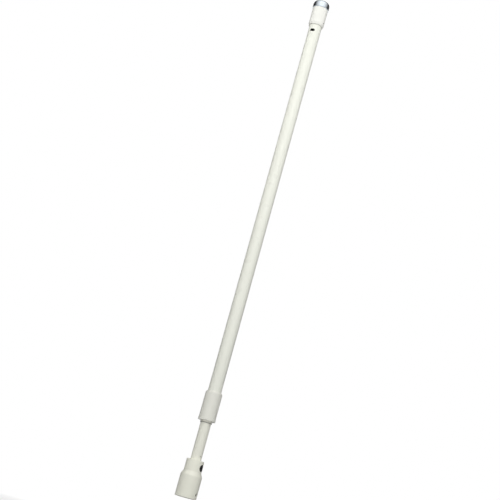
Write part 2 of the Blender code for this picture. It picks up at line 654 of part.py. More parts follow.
def build():
    clear_scene()
    paint = make_material("off_white_paint", (0.78, 0.78, 0.70), 0.38)
    plate = make_material("bright_plate", (0.72, 0.75, 0.78), 0.22, 1.0)
    black_steel = make_material("black_steel", (0.03, 0.03, 0.03), 0.5, 0.8)
    rubber = make_material("black_rubber", (0.01, 0.01, 0.01), 0.8)
    grey_rubber = make_material("grey_rubber", (0.3, 0.3, 0.28), 0.8)
    nylon = make_material("natural_nylon", (0.75, 0.74, 0.66), 0.5)
    aluminium = make_material("bare_aluminium", (0.75, 0.76, 0.77), 0.35, 1.0)
    brass = make_material("brass", (0.72, 0.55, 0.25), 0.3, 1.0)
    copper = make_material("copper_wire", (0.78, 0.42, 0.26), 0.3, 1.0)
    insulation = make_material("white_insulation", (0.85, 0.85, 0.84), 0.4)
    foam = make_material("grey_foam", (0.45, 0.46, 0.47), 0.9)

    base = make_empty("base", 0.0)
    mast = make_empty("mast", SLEEVE_BOTTOM)

    add_socket(base, paint, black_steel)
    add_grommet(base, rubber)
    add_inner_tube(base, paint, nylon)

    add_outer_tube(mast, paint)
    add_sleeve(mast, paint, nylon, grey_rubber, black_steel)
    add_top_end(mast, paint, plate, nylon, black_steel)
    add_jack(mast, aluminium, plate, insulation, brass)
    add_feed_line(mast, brass, insulation)
    add_radiator(mast, brass, copper, insulation, foam)


build()
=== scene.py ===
"""Looks for the telescopic omnidirectional antenna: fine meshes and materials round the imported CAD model.

Everything is in metres in the CAD frame: the Z axis runs up the mast from the socket's lower rim,
the cable hole faces +X and the slot under the top collar faces -Y.
"""

import math

import bmesh
import bpy
from mathutils import Matrix, Vector

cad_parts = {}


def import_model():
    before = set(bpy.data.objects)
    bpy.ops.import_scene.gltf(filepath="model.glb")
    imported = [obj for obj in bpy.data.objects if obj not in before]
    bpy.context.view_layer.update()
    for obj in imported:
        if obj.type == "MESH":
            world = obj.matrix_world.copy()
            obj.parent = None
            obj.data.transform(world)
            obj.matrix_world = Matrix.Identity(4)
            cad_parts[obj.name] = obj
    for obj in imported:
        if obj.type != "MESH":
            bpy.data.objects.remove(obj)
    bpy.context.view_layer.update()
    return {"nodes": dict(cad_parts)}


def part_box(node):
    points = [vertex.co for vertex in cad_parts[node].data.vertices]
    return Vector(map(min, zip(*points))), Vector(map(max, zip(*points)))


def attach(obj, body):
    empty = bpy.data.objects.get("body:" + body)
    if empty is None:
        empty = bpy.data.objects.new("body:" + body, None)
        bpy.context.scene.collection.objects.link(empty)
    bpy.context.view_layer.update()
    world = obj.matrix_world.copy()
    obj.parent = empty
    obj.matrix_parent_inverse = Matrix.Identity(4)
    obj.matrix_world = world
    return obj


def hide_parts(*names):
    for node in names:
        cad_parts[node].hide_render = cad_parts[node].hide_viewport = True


# Clearances and edges
GAP = 0.0003
SOFT_EDGE = 0.0006
HOLE_EDGE = 0.0004
FINE_EDGE = 0.0002

# Socket
HEAD_RADIUS = 0.0245
SKIRT_HEIGHT = 0.060
CONE_TOP = 0.0715
MAST_BORE_RADIUS = 0.0244
MAST_BORE_DEPTH = 0.050
SEAT_LIP_HEIGHT = 0.003
CABLE_HOLE_RADIUS = 0.0097
CABLE_BORE_RADIUS = 0.0050
CABLE_CLEARANCE = 0.0020  # of the inner tube's side hole round the grommet's bore
DRAIN_HOLE_RADIUS = 0.0015
DRAIN_HOLE_ANGLE = math.radians(-24)
DRAIN_HOLE_RISE = 0.012  # above the socket

# Tubes and liners
INNER_TUBE_WALL = 0.0020
OUTER_TUBE_WALL = 0.0022
LINER_WALL = 0.0011
GUIDE_FLANGE = 0.008
GUIDE_WALL = 0.0027
COAT_DEPTH = 0.0002

# Sleeve and collar
SLEEVE_RADIUS = 0.02375
SLEEVE_LIP_HEIGHT = 0.0047
SLEEVE_BEAD_HEIGHT = 0.007
SHOULDER_HEIGHT = 0.005
SHOULDER_TOP_WALL = 0.0010
SLEEVE_SLIT = 0.0016
COLLAR_TAPER = 0.0018
COLLAR_TAPER_HEIGHT = 0.007

# Slot
SLOT_WIDTH = 0.0150
SLOT_HEIGHT = 0.0080
SLOT_BELOW_COLLAR = 0.0208

# End cap
DOME_HEIGHT = 0.0107
DOME_WIDTH = 0.0080
CAP_EDGE = 0.0010
FITTING_BORE = 0.0120

# Screws
HEX_SHARE = 0.55
HEX_DEPTH = 0.0030
RIM_PITCH = 0.0015
HEAD_PITCH = 0.0010
SLEEVE_PITCH = 0.0010
COLLAR_PITCH = 0.0008

# Facets round a circle
ROUND = 128
HOLE_ROUND = 48

# Directions round the Z axis, as angles from +X
FRONT = math.radians(-90)
RIGHT = 0.0
BACK = math.radians(90)
LEFT = math.radians(180)

# Camera
VIEW_ANGLE = math.radians(-66)  # where the camera stands, from +X
VIEW_PITCH = math.radians(15.5)  # upward
VIEW_ROLL = math.radians(15.54)
VIEW_DISTANCE = 3.023
AIM_HEIGHT = 0.7160
AIM_OFFSET = 0.0106  # how far the view's centre line passes to the left of the mast
LENS = 75.6
SENSOR = 36.0

# Stage
FLOOR_DROP = 0.13  # below the socket
FLOOR_RADIUS = 60.0
FLOOR_TONE = (0.86, 0.86, 0.86)
FLOOR_NEAR = 0.86  # glow under the object
FLOOR_LIT = 0.22  # share of the floor that takes shadows near the object
FLOOR_LIT_NEAR = 0.3
FLOOR_FADE = 1.8  # distance at which the floor is white
FLOOR_BOUNCE = 0.27  # glow that diffuse bounces see
SURROUND_STRENGTH = 0.10
SIDE_ANGLE = math.radians(80)
SOFTBOX_STRENGTH = 1.50
SOFTBOX_DARK = 0.04  # where the softbox doesn't reach
SOFTBOX_EDGE = 0.25  # cosine at which it starts
SOFTBOX_PITCH = math.radians(45)
WHITE = (1.0, 1.0, 1.0, 1.0)


def outward(angle):
    return Vector((math.cos(angle), math.sin(angle), 0.0))


# ---- Meshes ----


def shade(mesh):
    mesh.shade_smooth()
    mesh.set_sharp_from_angle(angle=math.radians(30))


def skin(name, rings, hollow=True):
    """A closed mesh over rings of points.

    A hollow one joins its last ring to its first, and a solid one is capped.
    """
    bm = bmesh.new()
    rows = [[bm.verts.new(point) for point in ring] for ring in rings]
    following = rows[1:] + rows[:1] if hollow else rows[1:]
    for row, after in zip(rows, following):
        for place in range(len(row)):
            beside = (place + 1) % len(row)
            bm.faces.new((row[place], row[beside], after[beside], after[place]))
    if not hollow:
        bm.faces.new(rows[0])
        bm.faces.new(rows[-1])
    bmesh.ops.recalc_face_normals(bm, faces=bm.faces)
    mesh = bpy.data.meshes.new(name)
    bm.to_mesh(mesh)
    bm.free()
    shade(mesh)
    return mesh


def circle(radius, height, sides=ROUND):
    steps = [2 * math.pi * step / sides for step in range(sides)]
    return [Vector((radius * math.cos(a), radius * math.sin(a), height)) for a in steps]


def hexagon(radius, height, sides=ROUND):
    """A hexagon with corners at the radius, with as many points as a circle has."""
    ring = []
    for point in circle(1.0, 0.0, sides):
        turn = math.atan2(point.y, point.x) % (math.pi / 3) - math.pi / 6
        reach = radius * math.cos(math.pi / 6) / math.cos(turn)
        ring.append(Vector((reach * point.x, reach * point.y, height)))
    return ring


def rounded(corners, steps=4):
    """The (radius, height) points of an outline whose (radius, height, fillet) corners are eased."""
    points = []
    for place, (radius, height, fillet) in enumerate(corners):
        corner = Vector((radius, height))
        if fillet == 0.0:
            points.append(corner)
            continue
        before = Vector(corners[place - 1][:2]) - corner
        after = Vector(corners[(place + 1) % len(corners)][:2]) - corner
        start = corner + before.normalized() * min(fillet, before.length * 0.45)
        end = corner + after.normalized() * min(fillet, after.length * 0.45)
        for step in range(steps + 1):
            share = step / steps
            points.append(start.lerp(corner, share).lerp(corner.lerp(end, share), share))
    return points


def turned(name, corners, hollow=True, sides=ROUND):
    rings = [circle(radius, height, sides) for radius, height in rounded(corners)]
    return skin(name, rings, hollow)


def tube_corners(inner, outer, low, high, edge):
    return [(outer, low, edge), (outer, high, edge), (inner, high, edge), (inner, low, edge)]


def thread_rings(crest, depth, pitch, low, high, chamfer, sides, steps=8):
    """Rings of a helical thread between two heights, run out into a chamfer at each end."""
    rings = []
    count = round((high - low) / pitch * steps)
    for row in range(count + 1):
        height = low + (high - low) * row / count
        inset = max(0.0, chamfer - (height - low), chamfer - (high - height))
        ring = []
        for step, point in enumerate(circle(1.0, height, sides)):
            phase = ((height - low) / pitch - step / sides) % 1.0
            groove = min(1.0, max(0.0, 1.25 - 4.0 * abs(phase - 0.5) + 0.25))
            radius = min(crest - depth * (1.0 - groove), crest - inset)
            ring.append(Vector((radius * point.x, radius * point.y, height)))
        rings.append(ring)
    return rings


def saddle(width, height, surface, offset, sides=HOLE_ROUND):
    """A ring round a hole in the +X side of a tube of this surface radius, at the offset outside it."""
    radius = height / 2
    ring = []
    for point in circle(radius, 0.0, sides):
        across = point.x + math.copysign((width - height) / 2, point.x)
        ring.append(Vector((math.sqrt(surface**2 - across**2) + offset, across, point.y)))
    return ring


def flat_ring(width, height, reach, sides=HOLE_ROUND):
    return [Vector((reach, point.y, point.z)) for point in saddle(width, height, width, 0.0, sides)]


def hole_tool(name, width, height, surface, start, edge=HOLE_EDGE):
    """A cutter for a hole in a tube's wall, flared by edge where it meets the surface."""
    flare = 2 * edge
    rings = [
        flat_ring(width, height, start),
        saddle(width, height, surface, -edge),
        saddle(width + flare, height + flare, surface, 0.0),
        saddle(width + 2 * flare, height + 2 * flare, surface, edge),
        flat_ring(width + 2 * flare, height + 2 * flare, surface + 0.02),
    ]
    return skin(name, rings, hollow=False)


def slit_tool(name, width, inner, outer, low, high, edge=HOLE_EDGE):
    """A cutter for a saw cut up the +X side of a tube's wall, with its outer lips eased."""
    half = width / 2
    outline = [
        (inner, -half),
        (outer - edge, -half),
        (outer + edge, -half - 2 * edge),
        (outer + 0.01, -half - 2 * edge),
        (outer + 0.01, half + 2 * edge),
        (outer + edge, half + 2 * edge),
        (outer - edge, half),
        (inner, half),
    ]
    rings = [[Vector((x, y, z)) for x, y in outline] for z in (low - width, high + width)]
    return skin(name, rings, hollow=False)


def cut(target, mesh, angle, height):
    """Takes the tool's mesh, turned to the angle and lifted, out of the target."""
    tool = bpy.data.objects.new("tool", mesh)
    tool.matrix_world = Matrix.Translation((0.0, 0.0, height)) @ Matrix.Rotation(angle, 4, "Z")
    bpy.context.collection.objects.link(tool)
    modifier = target.modifiers.new("cut", "BOOLEAN")
    modifier.operation = "DIFFERENCE"
    modifier.solver = "MANIFOLD"
    modifier.object = tool
    graph = bpy.context.evaluated_depsgraph_get()
    result = bpy.data.meshes.new_from_object(target.evaluated_get(graph))
    target.modifiers.clear()
    target.data = result
    shade(target.data)
    bpy.data.objects.remove(tool)
    bpy.data.meshes.remove(mesh)


def round_hole(target, angle, height, radius, surface, start, edge=HOLE_EDGE):
    tool = hole_tool("hole", 2 * radius, 2 * radius, surface, start, edge)
    cut(target, tool, angle, height)


def add_piece(mesh, material, body, node):
    """Puts a finished mesh in the place of a CAD node."""
    piece = bpy.data.objects.new(mesh.name, mesh)
    bpy.context.collection.objects.link(piece)
    mesh.materials.append(material)
    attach(piece, body)
    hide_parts(node)
    return piece


# ---- Materials ----


class Material:
    """A Principled material whose colour, roughness and bump come from noise in the object's own space."""

    def __init__(self, name, colour, metallic=0.0):
        self.material = bpy.data.materials.new(name)
        self.material.use_nodes = True
        self.tree = self.material.node_tree
        self.shader = self.tree.nodes["Principled BSDF"]
        self.shader.inputs["Metallic"].default_value = metallic
        self.place = self.node("ShaderNodeTexCoord").outputs["Object"]
        self.colour = colour
        self.height = None

    def node(self, kind, **settings):
        made = self.tree.nodes.new(kind)
        for key, value in settings.items():
            setattr(made, key, value)
        return made

    def link(self, output, socket):
        self.tree.links.new(output, socket)

    def noise(self, scale, detail=2.0, stretch=(1.0, 1.0, 1.0)):
        mapping = self.node("ShaderNodeMapping")
        mapping.inputs["Scale"].default_value = stretch
        self.link(self.place, mapping.inputs["Vector"])
        noise = self.node("ShaderNodeTexNoise")
        noise.inputs["Scale"].default_value = scale
        noise.inputs["Detail"].default_value = detail
        self.link(mapping.outputs["Vector"], noise.inputs["Vector"])
        return noise.outputs["Fac"]

    def spread(self, value, low, high, from_low=0.3, from_high=0.7):
        mapped = self.node("ShaderNodeMapRange")
        mapped.inputs["From Min"].default_value = from_low
        mapped.inputs["From Max"].default_value = from_high
        mapped.inputs["To Min"].default_value = low
        mapped.inputs["To Max"].default_value = high
        self.link(value, mapped.inputs["Value"])
        return mapped.outputs["Result"]

    def blend(self, share, first, second):
        mix = self.node("ShaderNodeMix", data_type="RGBA")
        for socket, value in ((mix.inputs["A"], first), (mix.inputs["B"], second)):
            if isinstance(value, tuple):
                socket.default_value = (*value, 1.0)
            else:
                self.link(value, socket)
        self.link(share, mix.inputs["Factor"])
        return mix.outputs["Result"]

    def bump(self, height, distance, strength=1.0):
        bump = self.node("ShaderNodeBump")
        bump.inputs["Distance"].default_value = distance
        bump.inputs["Strength"].default_value = strength
        self.link(height, bump.inputs["Height"])
        if self.height is not None:
            self.link(self.height, bump.inputs["Normal"])
        self.height = bump.outputs["Normal"]

    def tone(self, scale, amount, stretch=(1.0, 1.0, 1.0)):
        """Drifts the colour by this share, darker and lighter."""
        darker = tuple(part * (1.0 - amount) for part in self.colour)
        lighter = tuple(min(1.0, part * (1.0 + amount)) for part in self.colour)
        share = self.spread(self.noise(scale, 3.0, stretch), 0.0, 1.0)
        return self.blend(share, darker, lighter)

    def finish(self, colour, roughness):
        self.link(colour, self.shader.inputs["Base Color"])
        self.link(roughness, self.shader.inputs["Roughness"])
        if self.height is not None:
            self.link(self.height, self.shader.inputs["Normal"])
        return self.material


def paint(name, colour, roughness=0.36):
    """Powder coat: faint orange peel and a slow drift of tone."""
    made = Material(name, colour)
    made.bump(made.noise(900.0), 0.00004, 0.6)
    made.bump(made.noise(160.0), 0.00010, 0.3)
    tone = made.tone(22.0, 0.018)
    return made.finish(tone, made.spread(made.noise(60.0), roughness - 0.05, roughness + 0.06))


def gel_coat(name, colour, bare_and_shaded_inside, radius, roughness=0.30):
    """Gel coat over glass fibre, with faint fibres along the tube. Inside the radius the laminate is bare,
    coloured near black as painted shade inside the tube.
    """
    made = Material(name, colour)
    made.bump(made.noise(700.0, 2.0, (1.0, 1.0, 0.06)), 0.00003, 0.6)
    made.bump(made.noise(90.0), 0.00012, 0.25)
    tone = made.tone(16.0, 0.014, (1.0, 1.0, 0.25))
    distance = made.node("ShaderNodeVectorMath", operation="LENGTH")
    flat = made.node("ShaderNodeVectorMath", operation="MULTIPLY")
    flat.inputs[1].default_value = (1.0, 1.0, 0.0)
    made.link(made.place, flat.inputs[0])
    made.link(flat.outputs[0], distance.inputs[0])
    share = made.spread(distance.outputs["Value"], 0.0, 1.0, radius - 0.0004, radius)
    # Inside the radius the colour turns near black: painted shade in the tube, over the bare laminate.
    colour = made.blend(share, bare_and_shaded_inside, tone)
    return made.finish(colour, made.spread(made.noise(45.0), roughness - 0.04, roughness + 0.06))


def machined(name, colour, roughness, pitch=0.0004):
    """Turned metal with fine rings and a few softer smears."""
    made = Material(name, colour, metallic=1.0)
    rings = made.noise(1.0 / pitch, 1.0, (0.02, 0.02, 1.0))
    made.bump(rings, 0.00002, 0.5)
    tone = made.tone(120.0, 0.06)
    return made.finish(tone, made.spread(made.noise(90.0), roughness - 0.06, roughness + 0.10))


def matt(name, colour, roughness, grain, depth, drift=0.12, metallic=0.0):
    """Rubber, foam, nylon and blacked steel: an even grain and a drift of tone."""
    made = Material(name, colour, metallic)
    made.bump(made.noise(grain, 3.0), depth, 0.7)
    tone = made.tone(70.0, drift)
    return made.finish(tone, made.spread(made.noise(110.0), roughness - 0.07, roughness + 0.07))


# ---- Screws ----


class Screw:
    """A headless screw along an angle, with its place and size from the CAD node's box.

    tip and end are its ends' distances from the Z axis.
    """

    def __init__(self, node, angle):
        low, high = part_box(node)
        along = outward(angle)
        self.node = node
        self.angle = angle
        self.tip, self.end = sorted((abs(low.dot(along)), abs(high.dot(along))))
        self.height = (low.z + high.z) / 2
        self.radius = (high.z - low.z) / 2

    def add(self, name, steel, body, pitch):
        """Threads it from tip to end, with a hexagon socket."""
        sides = HOLE_ROUND
        radius, tip, end = self.radius, self.tip, self.end
        chamfer = radius * 0.15
        hollow = radius * HEX_SHARE
        depth = min(HEX_DEPTH, (end - tip) * 0.45)
        rings = [circle(radius * 0.35, tip + chamfer, sides), circle(radius * 0.55, tip, sides)]
        rings += thread_rings(radius, pitch * 0.5, pitch, tip, end, chamfer * 2, sides)
        rings += [
            circle(hollow * 1.08, end, sides),
            hexagon(hollow, end - chamfer / 2, sides),
            hexagon(hollow, end - depth, sides),
            circle(hollow * 0.3, end - depth - hollow * 0.3, sides),
        ]
        mesh = skin(name, rings, hollow=False)
        turn = outward(self.angle).to_track_quat("Z", "X").to_matrix().to_4x4()
        mesh.transform(Matrix.Translation((0.0, 0.0, self.height)) @ turn)
        add_piece(mesh, steel, body, self.node)


# ---- Base pieces ----


def add_socket(coat, steel, rubber):
    low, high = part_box("mast_socket")
    skirt = high.x
    tube_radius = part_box("inner_tube")[1].x
    bore = tube_radius - INNER_TUBE_WALL
    seat = MAST_BORE_DEPTH + SEAT_LIP_HEIGHT
    corners = [
        (skirt, low.z, SOFT_EDGE),
        (skirt, SKIRT_HEIGHT, 0.0022),
        (HEAD_RADIUS, CONE_TOP, 0.0022),
        (HEAD_RADIUS, high.z, 0.0016),
        (tube_radius + GAP, high.z, SOFT_EDGE),
        (tube_radius + GAP, seat, 0.0),
        (bore, seat, 0.0),
        (bore, MAST_BORE_DEPTH, 0.0),
        (MAST_BORE_RADIUS, MAST_BORE_DEPTH, 0.0),
        (MAST_BORE_RADIUS, low.z, SOFT_EDGE),
    ]
    mesh = turned("socket_casting", corners)
    socket = add_piece(mesh, coat, "base", "mast_socket")
    hole_height = sum(corner.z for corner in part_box("cable_grommet")) / 2
    round_hole(socket, RIGHT, hole_height, CABLE_HOLE_RADIUS, HEAD_RADIUS, bore, 0.0005)
    for place, angle in enumerate((RIGHT, LEFT), start=1):
        screw = Screw(f"socket_set_screw_{place}", angle)
        round_hole(socket, angle, screw.height, screw.radius + GAP, skirt, bore)
        screw.add(f"rim_screw_{place}", steel, "base", RIM_PITCH)
    for place, angle in enumerate((BACK, LEFT), start=1):
        screw = Screw(f"tube_set_screw_{place}", angle)
        round_hole(socket, angle, screw.height, screw.radius + GAP, HEAD_RADIUS, bore)
        screw.add(f"head_screw_{place}", steel, "base", HEAD_PITCH)
    add_grommet(rubber, hole_height)


def add_grommet(rubber, height):
    low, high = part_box("cable_grommet")
    outer = CABLE_HOLE_RADIUS - GAP
    bore = CABLE_BORE_RADIUS
    proud = high.x - HEAD_RADIUS
    rings = [
        flat_ring(2 * outer, 2 * outer, low.x),
        saddle(2 * outer, 2 * outer, HEAD_RADIUS, -0.0006),
        saddle(1.94 * outer, 1.94 * outer, HEAD_RADIUS, -0.0001),
        saddle(1.84 * outer, 1.84 * outer, HEAD_RADIUS, proud * 0.6),
        saddle(1.7 * outer, 1.7 * outer, HEAD_RADIUS, proud * 0.7),
        saddle(1.5 * outer, 1.5 * outer, HEAD_RADIUS, 0.0),
        saddle(2.3 * bore, 2.3 * bore, HEAD_RADIUS, -0.0006),
        saddle(2.05 * bore, 2.05 * bore, HEAD_RADIUS, -0.0013),
        flat_ring(2 * bore, 2 * bore, HEAD_RADIUS - 0.0028),
        flat_ring(2 * bore, 2 * bore, low.x + 0.0006),
        flat_ring(2.15 * bore, 2.15 * bore, low.x),
    ]
    mesh = skin("cable_bush", rings)
    mesh.transform(Matrix.Translation((0.0, 0.0, height)))
    add_piece(mesh, rubber, "base", "cable_grommet")


def add_inner_tube(coat, nylon):
    low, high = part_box("inner_tube")
    radius = high.x
    bore = radius - INNER_TUBE_WALL
    mesh = turned("lower_tube", tube_corners(bore, radius, low.z, high.z, 0.0003))
    tube = add_piece(mesh, coat, "base", "inner_tube")
    hole_height = sum(corner.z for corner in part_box("cable_grommet")) / 2
    cable_hole = CABLE_BORE_RADIUS + CABLE_CLEARANCE
    round_hole(tube, RIGHT, hole_height, cable_hole, radius, bore / 2)
    drain_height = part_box("mast_socket")[1].z + DRAIN_HOLE_RISE
    round_hole(
        tube, DRAIN_HOLE_ANGLE, drain_height, DRAIN_HOLE_RADIUS, radius, bore / 2, FINE_EDGE
    )
    low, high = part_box("guide_plug")
    flange = high.z - GUIDE_FLANGE
    neck = bore - GAP
    corners = [
        (neck, low.z, SOFT_EDGE),
        (neck, flange, 0.0),
        (high.x, flange, 0.0003),
        (high.x, high.z, SOFT_EDGE),
        (neck - GUIDE_WALL, high.z, 0.0012),
        (neck - GUIDE_WALL, low.z, 0.0012),
    ]
    mesh = turned("guide_bush", corners)
    add_piece(mesh, nylon, "base", "guide_plug")


# ---- Mast pieces ----


def add_outer_tube(coat):
    low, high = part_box("outer_tube")
    radius = high.x
    bore = radius - OUTER_TUBE_WALL
    mesh = turned("radome_tube", tube_corners(bore, radius, low.z, high.z, 0.0003))
    tube = add_piece(mesh, coat, "mast", "outer_tube")
    slot_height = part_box("top_collar")[0].z - SLOT_BELOW_COLLAR
    tool = hole_tool("slot", SLOT_WIDTH, SLOT_HEIGHT, radius, bore / 2)
    cut(tube, tool, FRONT, slot_height)
    holes = (
        ("clamp_screw_1", BACK),
        ("clamp_screw_2", BACK),
        ("collar_screw_1", RIGHT),
        ("collar_screw_2", LEFT),
    )
    for node, angle in holes:
        screw = Screw(node, angle)
        round_hole(tube, angle, screw.height, screw.radius + GAP, radius, bore / 2, FINE_EDGE)


def add_sleeve(coat, nylon, rubber, steel):
    low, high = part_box("lock_sleeve")
    tube_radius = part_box("outer_tube")[1].x
    bore = tube_radius + GAP
    bead = high.x
    lip_bore = tube_radius - OUTER_TUBE_WALL
    corners = [
        (bead, low.z, 0.0008),
        (bead, low.z + SLEEVE_BEAD_HEIGHT, 0.0004),
        (SLEEVE_RADIUS, low.z + SLEEVE_BEAD_HEIGHT, 0.0003),
        (SLEEVE_RADIUS, high.z - SHOULDER_HEIGHT, 0.0016),
        (bore + SHOULDER_TOP_WALL, high.z, 0.0006),
        (bore, high.z, 0.0003),
        (bore, low.z + SLEEVE_LIP_HEIGHT, 0.0),
        (lip_bore, low.z + SLEEVE_LIP_HEIGHT, 0.0),
        (lip_bore, low.z, 0.0003),
    ]
    mesh = turned("clamp_sleeve", corners)
    sleeve = add_piece(mesh, coat, "mast", "lock_sleeve")
    tool = slit_tool("slit", SLEEVE_SLIT, lip_bore - 0.001, SLEEVE_RADIUS, low.z, high.z)
    cut(sleeve, tool, RIGHT, 0.0)
    low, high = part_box("lower_bushing")
    corners = tube_corners(high.x - LINER_WALL, high.x, low.z, high.z, 0.0003)
    mesh = turned("slide_bushing", corners)
    bushing = add_piece(mesh, nylon, "mast", "lower_bushing")
    for place in (1, 2):
        screw = Screw(f"clamp_screw_{place}", BACK)
        clear = screw.radius + GAP
        round_hole(sleeve, BACK, screw.height, clear, SLEEVE_RADIUS, bore / 2)
        round_hole(bushing, BACK, screw.height, clear, high.x, bore / 2, FINE_EDGE)
        screw.add(f"sleeve_screw_{place}", steel, "mast", SLEEVE_PITCH)
    low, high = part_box("wiper_ring")
    inner = high.x - LINER_WALL
    corners = [
        (high.x, low.z, 0.0006),
        (high.x, high.z, 0.0002),
        (inner, high.z, 0.0002),
        (inner, low.z, 0.0002),
    ]
    # The wiper ring is a real part; its mid grey paints the shadow line under the sleeve, painted shade.
    mesh = turned("wiper_lip", corners)
    add_piece(mesh, rubber, "mast", "wiper_ring")


def dome(radius, top, steps=12):
    """The outline of the cap's shoulder, a quarter of an ellipse."""
    turns = [math.pi / 2 * step / steps for step in range(steps + 1)]
    return [
        (radius - DOME_WIDTH * (1.0 - math.cos(a)), top - DOME_HEIGHT * (1.0 - math.sin(a)))
        for a in turns
    ]


def add_top_end(coat, plate, nylon, steel):
    low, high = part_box("top_collar")
    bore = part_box("outer_tube")[1].x + GAP
    radius = high.x
    corners = [
        (radius - COLLAR_TAPER, low.z, 0.0006),
        (radius, low.z + COLLAR_TAPER_HEIGHT, 0.0016),
        (radius, high.z, 0.0010),
        (bore, high.z, 0.0003),
        (bore, low.z, 0.0003),
    ]
    mesh = turned("end_collar", corners)
    collar = add_piece(mesh, coat, "mast", "top_collar")
    for place, angle in enumerate((RIGHT, LEFT), start=1):
        screw = Screw(f"collar_screw_{place}", angle)
        round_hole(collar, angle, screw.height, screw.radius + GAP, radius, bore / 2)
        screw.add(f"end_screw_{place}", steel, "mast", COLLAR_PITCH)
    low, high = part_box("end_fitting")
    tube_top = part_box("outer_tube")[1].z + GAP
    tube_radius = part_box("outer_tube")[1].x
    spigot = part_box("lower_bushing")[1].x
    cap_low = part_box("top_collar")[1].z + GAP
    corners = [
        (spigot, low.z, 0.0010),
        (spigot, tube_top, 0.0),
        (tube_radius, tube_top, 0.0),
        (tube_radius, cap_low, 0.0),
        (high.x, cap_low, CAP_EDGE),
    ]
    corners += [(radius, height, 0.0) for radius, height in dome(high.x, high.z)]
    corners += [(FITTING_BORE, high.z, 0.0008), (FITTING_BORE, low.z, 0.0006)]
    mesh = turned("domed_cap", corners)
    add_piece(mesh, plate, "mast", "end_fitting")
    low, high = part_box("top_plug")
    hexagon_radius = high.x * HEX_SHARE
    rings = [
        circle(high.x - 0.0010, low.z),
        circle(high.x, low.z + 0.0010),
        circle(high.x, high.z - 0.0005),
        circle(high.x - 0.0005, high.z),
        circle(hexagon_radius * 1.06, high.z),
        hexagon(hexagon_radius, high.z - 0.0006),
        hexagon(hexagon_radius, low.z + 0.005),
    ]
    mesh = skin("end_plug", rings, hollow=False)
    add_piece(mesh, nylon, "mast", "top_plug")


def dress_inside(nodes, finishes):
    """Gives each CAD node that stays its material."""
    for names, material in finishes:
        for name in names:
            data = nodes[name].data
            data.materials.clear()
            data.materials.append(material)
            shade(data)


# ---- Stage ----


def add_camera():
    towards = outward(VIEW_ANGLE)
    forward = Vector((0.0, 0.0, math.sin(VIEW_PITCH))) - towards * math.cos(VIEW_PITCH)
    level = forward.cross(Vector((0.0, 0.0, 1.0))).normalized()
    upright = level.cross(forward)
    right = level * math.cos(VIEW_ROLL) + upright * math.sin(VIEW_ROLL)
    up = upright * math.cos(VIEW_ROLL) - level * math.sin(VIEW_ROLL)
    data = bpy.data.cameras.new("camera")
    data.lens = LENS
    data.sensor_width = SENSOR
    data.clip_end = 200.0
    camera = bpy.data.objects.new("camera", data)
    place = Vector((0.0, 0.0, AIM_HEIGHT)) - forward * VIEW_DISTANCE - level * AIM_OFFSET
    turn = Matrix((right, up, -forward)).transposed().to_4x4()
    camera.matrix_world = Matrix.Translation(place) @ turn
    bpy.context.collection.objects.link(camera)
    bpy.context.scene.camera = camera


def add_floor():
    """A pale round floor that brightens with distance until it meets the white background.

    The object's own diffuse bounces see a dimmer floor, so its undersides stay in shade as in the photo.
    """
    bm = bmesh.new()
    bmesh.ops.create_circle(bm, cap_ends=True, segments=ROUND, radius=FLOOR_RADIUS)
    mesh = bpy.data.meshes.new("floor")
    bm.to_mesh(mesh)
    bm.free()
    floor = bpy.data.objects.new("floor", mesh)
    floor.location.z = -FLOOR_DROP
    bpy.context.collection.objects.link(floor)
    made = Material("floor", FLOOR_TONE)
    made.finish(made.tone(3.0, 0.01), made.spread(made.noise(5.0), 0.85, 0.95))
    distance = made.node("ShaderNodeVectorMath", operation="LENGTH")
    made.link(made.place, distance.inputs[0])
    pale = made.node("ShaderNodeEmission")
    brightness = made.spread(distance.outputs["Value"], FLOOR_NEAR, 1.0, 0.0, FLOOR_FADE)
    made.link(brightness, pale.inputs["Strength"])
    bounce = made.node("ShaderNodeEmission")
    bounce.inputs["Strength"].default_value = FLOOR_BOUNCE
    lit = made.node("ShaderNodeMixShader")
    share = made.spread(distance.outputs["Value"], FLOOR_LIT, 0.0, FLOOR_LIT_NEAR, FLOOR_FADE)
    made.link(share, lit.inputs["Fac"])
    made.link(pale.outputs["Emission"], lit.inputs[1])
    made.link(made.shader.outputs["BSDF"], lit.inputs[2])
    shown = made.node("ShaderNodeMixShader")
    made.link(made.node("ShaderNodeLightPath").outputs["Is Diffuse Ray"], shown.inputs["Fac"])
    made.link(lit.outputs["Shader"], shown.inputs[1])
    made.link(bounce.outputs["Emission"], shown.inputs[2])
    made.link(shown.outputs["Shader"], made.tree.nodes["Material Output"].inputs["Surface"])
    mesh.materials.append(made.material)


def add_light(name, angle, distance, height, aim, width, tall, power):
    """A soft lamp that faces the Z axis at the height of aim. The camera and reflections don't see it."""
    data = bpy.data.lights.new(name, "AREA")
    data.shape = "RECTANGLE"
    data.size = width
    data.size_y = tall
    data.energy = power
    light = bpy.data.objects.new(name, data)
    light.location = outward(angle) * distance + Vector((0.0, 0.0, height))
    facing = light.location - Vector((0.0, 0.0, aim))
    light.rotation_euler = facing.to_track_quat("Z", "Y").to_euler()
    light.visible_camera = False
    light.visible_glossy = False
    bpy.context.collection.objects.link(light)


